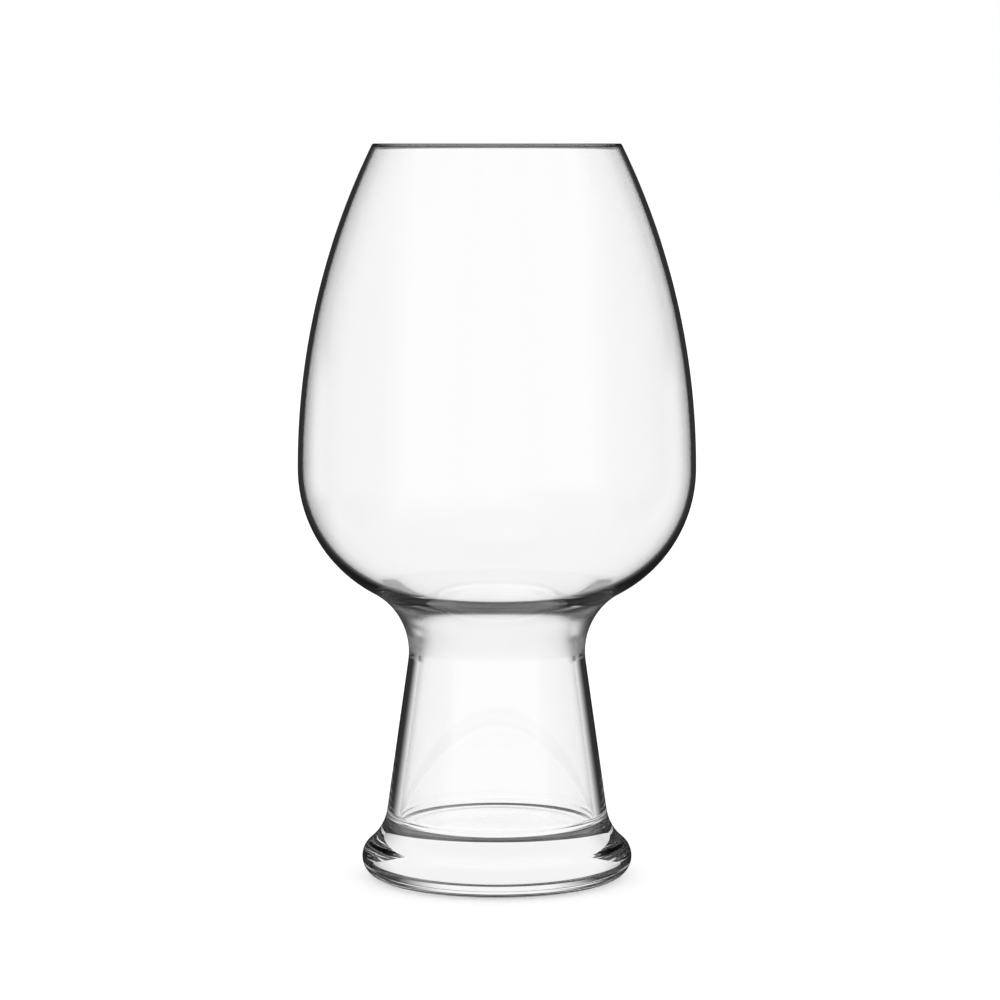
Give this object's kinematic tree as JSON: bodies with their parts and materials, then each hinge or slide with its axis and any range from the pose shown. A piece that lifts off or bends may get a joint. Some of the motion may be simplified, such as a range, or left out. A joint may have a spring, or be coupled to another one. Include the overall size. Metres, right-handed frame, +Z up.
{
  "type": "wheat beer glass",
  "caption": "Clear stemmed beer glass: tall egg-shaped bowl narrowing to the rim, hollow flared stem open to the bowl, and a heavy round foot with a bead edge.",
  "frame": {"origin": "centre of the foot's underside, on the plane that the glass stands on", "axes": "+Z up along the axis that every piece is turned about, towards the rim"},
  "size_m": [0.104, 0.104, 0.192],
  "materials": {
    "clear_glass": "clear, polished"
  },
  "bodies": {
    "root": {"bowl": "clear_glass", "stem": "clear_glass", "foot": "clear_glass"}
  },
  "joints": []
}
